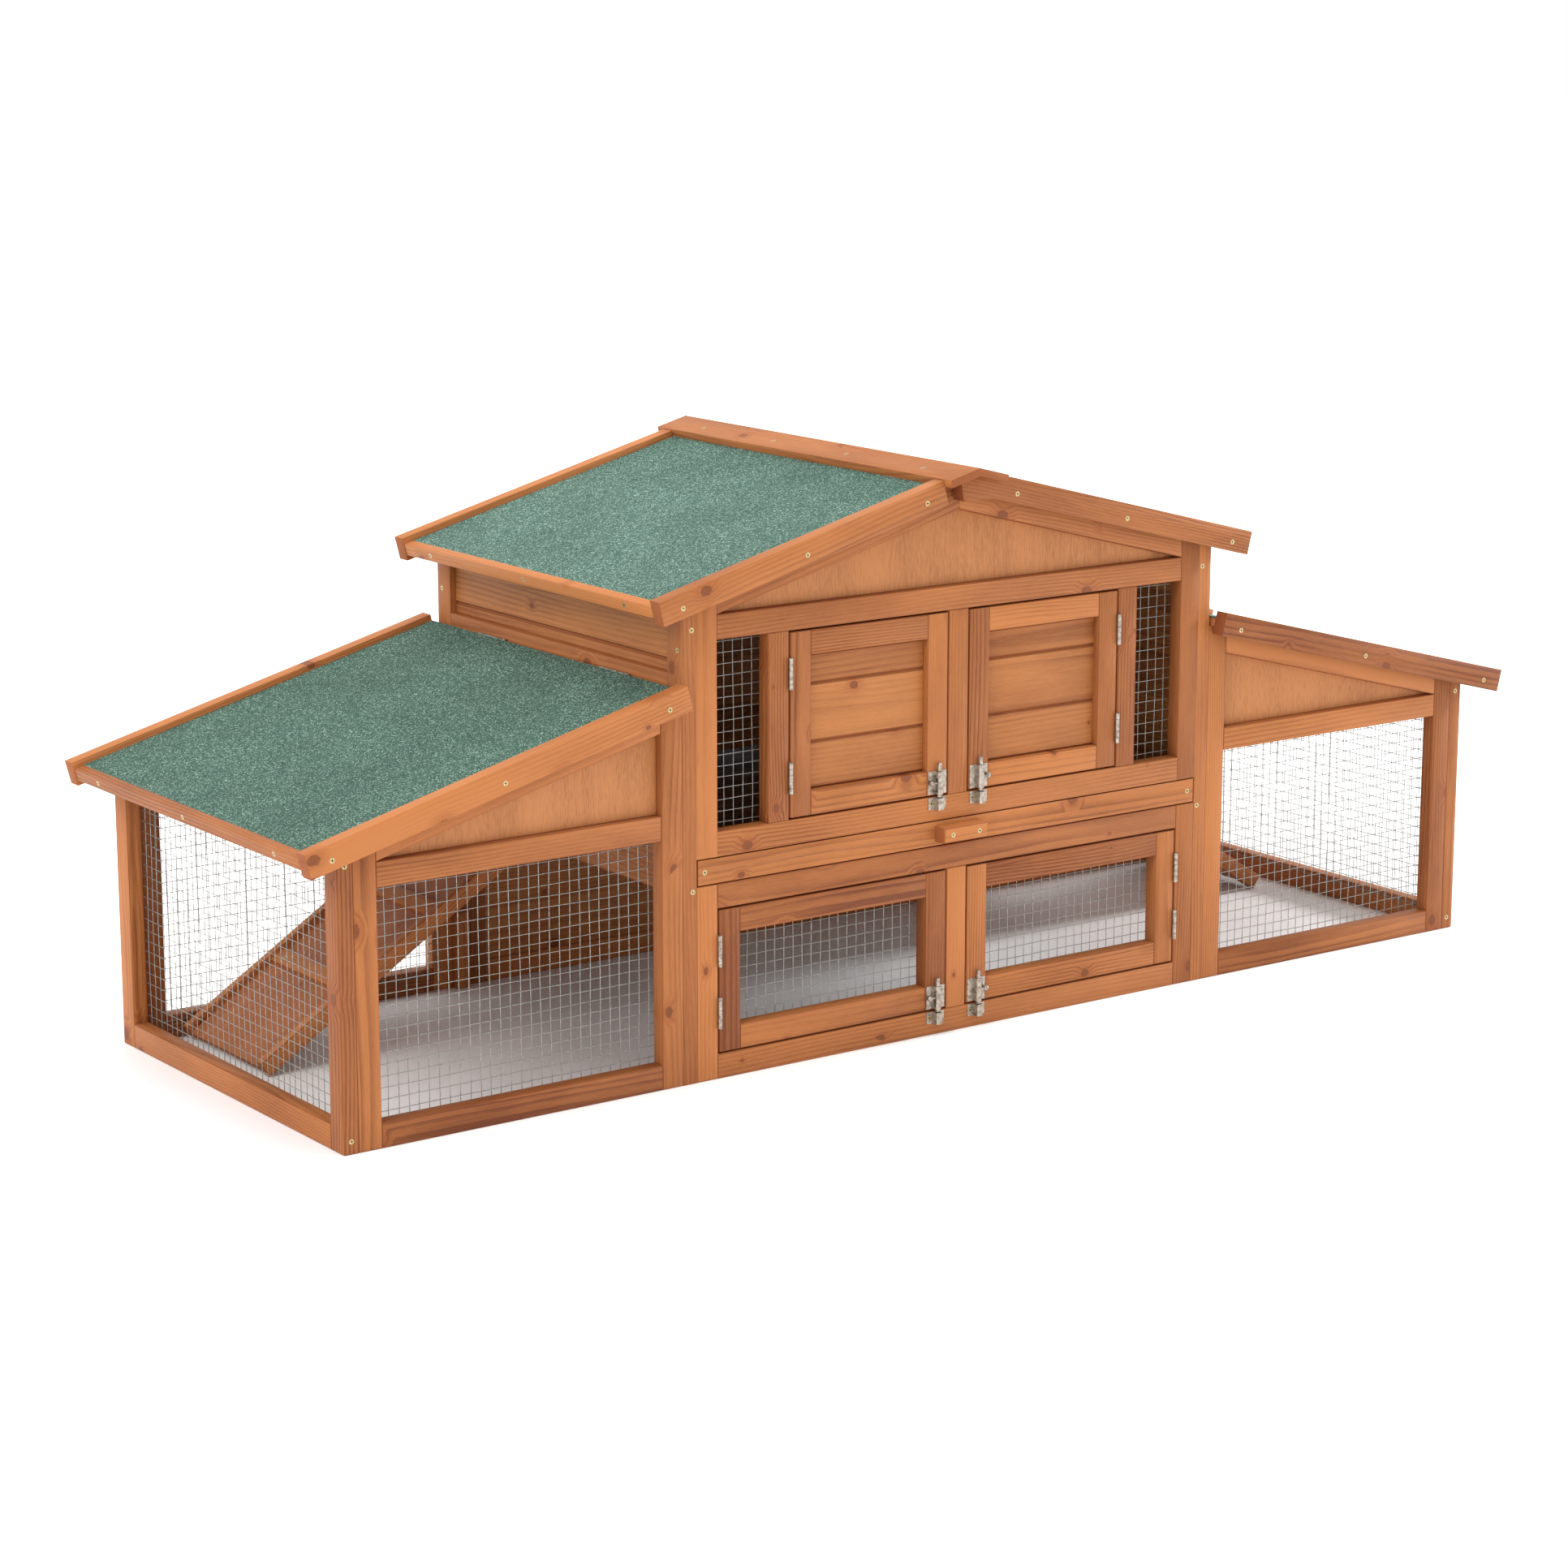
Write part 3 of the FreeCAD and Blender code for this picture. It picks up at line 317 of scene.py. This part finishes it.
def felt(name, base, pale, deep):
    """Mineral felt: a coat of green and grey grit."""
    material, tree, shader = new_material(name)
    place = add(tree, "ShaderNodeTexCoord").outputs["Object"]
    grit = add(tree, "ShaderNodeTexVoronoi", {"Vector": place, "Scale": 850.0, "Randomness": 1.0})
    fleck = add(tree, "ShaderNodeSeparateColor", {0: grit.outputs["Color"]}).outputs
    colour = mix(tree, fade(tree, fleck[0], 0.68, 1.0), base, pale)
    colour = mix(tree, fade(tree, fleck[1], 0.6, 1.0), colour, deep)
    drift = noise(tree, place, 9.0, 3.0)
    colour = mix(tree, fade(tree, drift, 0.35, 0.75, 0.0, 0.25), colour, deep)
    tree.links.new(colour, shader.inputs["Base Color"])
    shader.inputs["Roughness"].default_value = 0.92
    height = calc(tree, "SUBTRACT", 1.0, calc(tree, "MULTIPLY", grit.outputs["Distance"], 1.2))
    height = calc(tree, "ADD", height, calc(tree, "MULTIPLY", noise(tree, place, 45.0, 2.0), 1.5))
    bump(tree, shader, height, 0.6 * MM)
    return material


def metal(name, colour, dull, rough, scale=240.0):
    """Plated or galvanised steel with soft cloudy wear."""
    material, tree, shader = new_material(name)
    place = add(tree, "ShaderNodeTexCoord").outputs["Object"]
    cloud = noise(tree, place, scale, 3.0)
    tree.links.new(mix(tree, fade(tree, cloud, 0.3, 0.75), colour, dull), shader.inputs["Base Color"])
    shader.inputs["Metallic"].default_value = 0.85
    grain = noise(tree, place, scale * 6, 2.0)
    roughness = calc(tree, "ADD", rough, calc(tree, "MULTIPLY", grain, 0.22))
    tree.links.new(roughness, shader.inputs["Roughness"])
    bump(tree, shader, grain, 0.03 * MM)
    return material


def screw_metal(name):
    """Screw with a cross recess drawn near black on its head as painted shade."""
    material, tree, shader = new_material(name)
    place = attribute(tree, "grain")
    part = add(tree, "ShaderNodeSeparateXYZ", {0: place}).outputs
    a = calc(tree, "ABSOLUTE", part[1])
    b = calc(tree, "ABSOLUTE", part[2])
    arm = calc(tree, "MINIMUM", a, b)
    tip = calc(tree, "MAXIMUM", a, b)
    slot = calc(
        tree,
        "MULTIPLY",
        calc(tree, "SUBTRACT", 1.0, fade(tree, arm, 0.3 * MM, 0.5 * MM)),
        calc(tree, "SUBTRACT", 1.0, fade(tree, tip, 1.6 * MM, 2.0 * MM)),
    )
    from_axis = vmath(tree, "LENGTH", vmath(tree, "MULTIPLY", place, (0, 1, 1)))
    rim = fade(tree, from_axis, 2.6 * MM, 3.1 * MM)
    cloud = noise(tree, place, 900.0, 2.0)
    colour = mix(tree, cloud, srgb(214, 196, 150), srgb(168, 142, 92))
    # painted shade: the cross recess is drawn near black on the flat head
    colour = mix(tree, slot, colour, srgb(34, 26, 20))
    colour = mix(tree, calc(tree, "MULTIPLY", rim, 0.6), colour, srgb(70, 48, 32))
    tree.links.new(colour, shader.inputs["Base Color"])
    shader.inputs["Metallic"].default_value = 0.8
    tree.links.new(calc(tree, "ADD", 0.28, calc(tree, "MULTIPLY", cloud, 0.2)), shader.inputs["Roughness"])
    bump(tree, shader, calc(tree, "SUBTRACT", 1.0, slot), 0.5 * MM)
    return material


STICK = timber(
    "stained_sticks", srgb(180, 112, 60), srgb(110, 56, 26), spacing=3.6, strength=0.44, variation=0.8
)
BOARD = timber(
    "stained_boards", srgb(188, 122, 68), srgb(122, 66, 31), spacing=5.5, strength=0.42, variation=0.6
)
PLY = timber(
    "stained_ply",
    srgb(182, 120, 72),
    srgb(120, 68, 38),
    spacing=9.0,
    strength=0.08,
    knots=0.0,
    variation=0.5,
    pores=1.1,
)
DECK = timber("stained_deck", srgb(172, 106, 64), srgb(116, 62, 34), spacing=9.0, strength=0.2, knots=0.4)
HOUSE_FELT = felt("house_felt", srgb(62, 98, 84), srgb(158, 186, 172), srgb(24, 50, 40))
RUN_FELT = felt("run_felt", srgb(58, 92, 78), srgb(150, 178, 162), srgb(22, 46, 36))
WIRE = metal("galvanised_wire", srgb(176, 176, 172), srgb(126, 128, 124), 0.38, 400.0)
ZINC = metal("bright_zinc", srgb(186, 176, 164), srgb(128, 116, 104), 0.3)
SHEET = metal("galvanised_sheet", srgb(190, 194, 196), srgb(150, 156, 158), 0.35, 60.0)
SCREW = screw_metal("zinc_screws")

# ---------------------------------------------------------------- CAD solids as planed pieces


def solids_of(node):
    """The solids of a CAD node, each as (corner points, triangles) welded on its own."""
    mesh = node.data
    mesh.calc_loop_triangles()
    key_of = {}
    ids = []
    points = []
    for vertex in mesh.vertices:
        key = tuple(round(c, 5) for c in vertex.co)
        if key not in key_of:
            key_of[key] = len(points)
            points.append(vertex.co.copy())
        ids.append(key_of[key])
    faces = []
    sharing = {}
    for triangle in mesh.loop_triangles:
        face = tuple(ids[i] for i in triangle.vertices)
        if len(set(face)) < 3:
            continue
        for a, b in zip(face, face[1:] + face[:1]):
            sharing.setdefault((min(a, b), max(a, b)), []).append(len(faces))
        faces.append(face)
    root = list(range(len(faces)))

    def find(i):
        while root[i] != i:
            root[i] = root[root[i]]
            i = root[i]
        return i

    for users in sharing.values():
        if len(users) == 2:
            root[find(users[0])] = find(users[1])
    groups = {}
    for i, face in enumerate(faces):
        groups.setdefault(find(i), []).append(face)
    solids = []
    for group in groups.values():
        used = sorted({i for face in group for i in face})
        order = {old: new for new, old in enumerate(used)}
        solids.append(([points[i] for i in used], [tuple(order[i] for i in face) for face in group]))
    return solids


def lie_of(points):
    """Axes of the tightest box round a solid, longest first, and its middle."""
    best = None
    for angle in LIES:
        turn = math.radians(angle)
        axes = [
            Vector((math.cos(turn), 0, math.sin(turn))),
            Vector((0, 1, 0)),
            Vector((-math.sin(turn), 0, math.cos(turn))),
        ]
        spans = [(min(p.dot(a) for p in points), max(p.dot(a) for p in points)) for a in axes]
        volume = math.prod(high - low for low, high in spans)
        if best is None or volume < best[0] * 0.999:
            best = (volume, axes, spans)
    _, axes, spans = best
    order = sorted(range(3), key=lambda i: spans[i][0] - spans[i][1])
    middle = sum((axes[i] * (sum(spans[i]) / 2) for i in range(3)), Vector())
    return [axes[i] for i in order], middle


def deselect():
    bpy.ops.object.select_all(action="DESELECT")


def give_grain(obj, axes, middle, shift, tone, luck):
    """Writes how far each corner is along and across the grain, which faces are end grain, and which rounded
    edges get painted seam shade.
    """
    mesh = obj.data
    grain = mesh.attributes.new("grain", "FLOAT_VECTOR", "CORNER")
    piece = mesh.attributes.new("piece", "FLOAT_VECTOR", "CORNER")
    for polygon in mesh.polygons:
        facing = [abs(polygon.normal.dot(axis)) for axis in axes]
        if facing[0] > END_GRAIN_FACING:
            end_grain_and_seam_shade = 1.0
        else:
            # rounded edges get painted shade in the end grain colour, to draw the seams between pieces
            end_grain_and_seam_shade = PAINTED_SEAM_SHADE if max(facing) < FLAT_FACING else 0.0
        for corner in polygon.loop_indices:
            offset = mesh.vertices[mesh.loops[corner].vertex_index].co - middle
            grain.data[corner].vector = [offset.dot(axis) + s for axis, s in zip(axes, shift)]
            piece.data[corner].vector = (tone, end_grain_and_seam_shade, luck)


def planed(name, body, material, edge=EDGE_ROUND, wander=True, upright=False):
    """Softened copy of a CAD node: every solid keeps its shape and gets its own grain."""
    made = []
    for points, faces in solids_of(frame["nodes"][name]):
        mesh = bpy.data.meshes.new(name)
        mesh.from_pydata(points, [], faces)
        obj = bpy.data.objects.new(name + "_piece", mesh)
        bpy.context.collection.objects.link(obj)
        axes, middle = lie_of(points)
        if upright:
            axes = [axes[1], axes[0], axes[2]]
        if edge:
            deselect()
            bpy.context.view_layer.objects.active = obj
            obj.select_set(True)
            bpy.ops.object.mode_set(mode="EDIT")
            bpy.ops.mesh.select_all(action="SELECT")
            bpy.ops.mesh.dissolve_limited(angle_limit=math.radians(MERGE_ANGLE))
            bpy.ops.object.mode_set(mode="OBJECT")
            soften = obj.modifiers.new("edge", "BEVEL")
            soften.width = edge
            soften.segments = BEVEL_CUTS
            soften.limit_method = "ANGLE"
            soften.angle_limit = math.radians(BEVEL_ANGLE)
            bpy.ops.object.modifier_apply(modifier=soften.name)
        shift = [random.uniform(-GRAIN_SHIFT, GRAIN_SHIFT) for _ in range(3)] if wander else (0, 0, 0)
        give_grain(obj, axes, middle, shift, random.random(), random.random())
        made.append(obj)
    deselect()
    for obj in made:
        obj.select_set(True)
    bpy.context.view_layer.objects.active = made[0]
    if len(made) > 1:
        bpy.ops.object.join()
    piece = bpy.context.view_layer.objects.active
    piece.name = name + "_planed"
    piece.data.materials.clear()
    piece.data.materials.append(material)
    if edge:
        bpy.ops.object.shade_smooth_by_angle(angle=math.radians(PLANED_SMOOTH))
    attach(piece, body)
    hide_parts(name)


# ---------------------------------------------------------------- welded mesh


def straight_wires(length, run, step, count, start):
    """Equal wires side by side: run is their direction and step the way to the next."""
    deselect()
    bpy.ops.mesh.primitive_cylinder_add(vertices=WIRE_SIDES, radius=WIRE_R, depth=length, end_fill_type="NGON")
    wire = bpy.context.object
    wire.rotation_mode = "QUATERNION"
    wire.rotation_quaternion = Vector((0, 0, 1)).rotation_difference(run)
    bpy.ops.object.transform_apply(location=True, rotation=True, scale=True)
    bpy.ops.object.mode_set(mode="EDIT")
    bpy.ops.mesh.select_all(action="DESELECT")
    bpy.ops.object.mode_set(mode="OBJECT")
    for edge in wire.data.edges:
        ends = [wire.data.vertices[i].co for i in edge.vertices]
        edge.select = (ends[0] - ends[1]).length > length / 2
    bpy.ops.object.mode_set(mode="EDIT")
    bpy.ops.mesh.select_mode(type="EDGE")
    bpy.ops.mesh.subdivide(number_cuts=WIRE_CUTS)
    bpy.ops.object.mode_set(mode="OBJECT")
    row = wire.modifiers.new("row", "ARRAY")
    row.count = count
    row.use_relative_offset = False
    row.use_constant_offset = True
    row.constant_offset_displace = step
    bpy.ops.object.modifier_apply(modifier=row.name)
    wire.data.transform(Matrix.Translation(start + run * (length / 2)))
    return wire


def welded_mesh(name, body):
    """Round wires on a true half-inch pitch in place of the plain holed sheets."""
    sheets = []
    for points, _ in solids_of(frame["nodes"][name]):
        low = Vector([min(p[i] for p in points) for i in range(3)])
        high = Vector([max(p[i] for p in points) for i in range(3)])
        size = high - low
        thin = min(range(3), key=lambda i: size[i])
        flat = [i for i in range(3) if i != thin]
        middle = (low + high) / 2
        phases = [random.uniform(0, 6.28) for _ in range(4)]
        for n, (along, across) in enumerate((flat, flat[::-1])):
            run = Vector([float(i == along) for i in range(3)])
            step = Vector([float(i == across) for i in range(3)]) * MESH_PITCH
            count = int(size[across] // MESH_PITCH) + 1
            start = low.copy()
            start[across] += (size[across] - (count - 1) * MESH_PITCH) / 2
            start[thin] = middle[thin] + (WIRE_R if n else -WIRE_R) * WIRE_OFFSET
            wires = straight_wires(size[along], run, step, count, start)
            for vertex in wires.data.vertices:
                a, b = vertex.co[along], vertex.co[across]
                row = round((b - start[across]) / MESH_PITCH)
                sway = sum(math.sin(a * p + phases[i] + row * q) for i, (p, q) in enumerate(SWAY_WAVES))
                lean = sum(math.sin(a * p + b * q + phases[i + 2]) for i, (p, q) in enumerate(LEAN_WAVES))
                vertex.co[across] += sway * WIRE_BOW
                vertex.co[thin] += lean * WIRE_BOW
            sheets.append(wires)
    deselect()
    for obj in sheets:
        obj.select_set(True)
    bpy.context.view_layer.objects.active = sheets[0]
    bpy.ops.object.join()
    piece = bpy.context.view_layer.objects.active
    piece.name = name + "_wires"
    piece.data.materials.append(WIRE)
    bpy.ops.object.shade_smooth_by_angle(angle=math.radians(WIRE_SMOOTH))
    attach(piece, body)
    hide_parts(name)


# ---------------------------------------------------------------- dress every node

BODY_OF = {node: body for body, nodes in frame["record"]["behaviour"]["bodies"].items() for node in nodes}
PLY_NODES = ("gable_panels",)
BARE_NODES = ("ramp_decks", "house_roof_boards", "left_roof_board", "right_roof_board")


def paint(name, material):
    """The CAD mesh of a node stays as it is and gets its material."""
    materials = frame["nodes"][name].data.materials
    materials.clear()
    materials.append(material)


for node, body in BODY_OF.items():
    if node.endswith("_mesh"):
        welded_mesh(node, body)
    elif "felt" in node:
        paint(node, HOUSE_FELT if node.startswith("house") else RUN_FELT)
    elif node == "tray_pan":
        paint(node, SHEET)
    elif "screws" in node:
        planed(node, body, SCREW, edge=0, wander=False)
    elif "bolt" in node or "hinge_leaves" in node or node == "hinge_pins":
        paint(node, ZINC)
    elif node in PLY_NODES:
        planed(node, body, PLY, upright=True)
    elif node in BARE_NODES:
        planed(node, body, DECK)
    elif node.endswith("boards") and "barge" not in node:
        planed(node, body, BOARD)
    else:
        planed(node, body, STICK)

# ---------------------------------------------------------------- studio

floor_material, _, floor_shader = new_material("studio_floor")
floor_shader.inputs["Base Color"].default_value = (0.9, 0.9, 0.9, 1)
floor_shader.inputs["Roughness"].default_value = 0.8
deselect()
bpy.ops.mesh.primitive_plane_add(size=FLOOR_SIZE, location=(0, 0, FLOOR_Z))
floor = bpy.context.object
floor.name = "studio_floor"
floor.data.materials.append(floor_material)

scene = bpy.context.scene
world = bpy.data.worlds.new("studio")
world.use_nodes = True
world.node_tree.nodes["Background"].inputs["Color"].default_value = (1, 1, 1, 1)
world.node_tree.nodes["Background"].inputs["Strength"].default_value = 1.0
scene.world = world
scene.view_settings.view_transform = "Standard"


def sun(name, toward, spread, power):
    """Soft even light that falls from the direction toward."""
    data = bpy.data.lights.new(name, "SUN")
    data.angle = math.radians(spread)
    data.energy = power
    obj = bpy.data.objects.new(name, data)
    obj.rotation_euler = Vector(toward).to_track_quat("Z", "Y").to_euler()
    bpy.context.collection.objects.link(obj)


for settings in SUNS:
    sun(*settings)

view = bpy.data.cameras.new("view")
view.sensor_width = SENSOR_WIDTH
view.lens = LENS
camera = bpy.data.objects.new("view", view)
camera.location = CAMERA_PLACE
camera.rotation_euler = (math.radians(90 - CAMERA_DOWN), 0, math.radians(-CAMERA_TURN))
bpy.context.collection.objects.link(camera)
scene.camera = camera
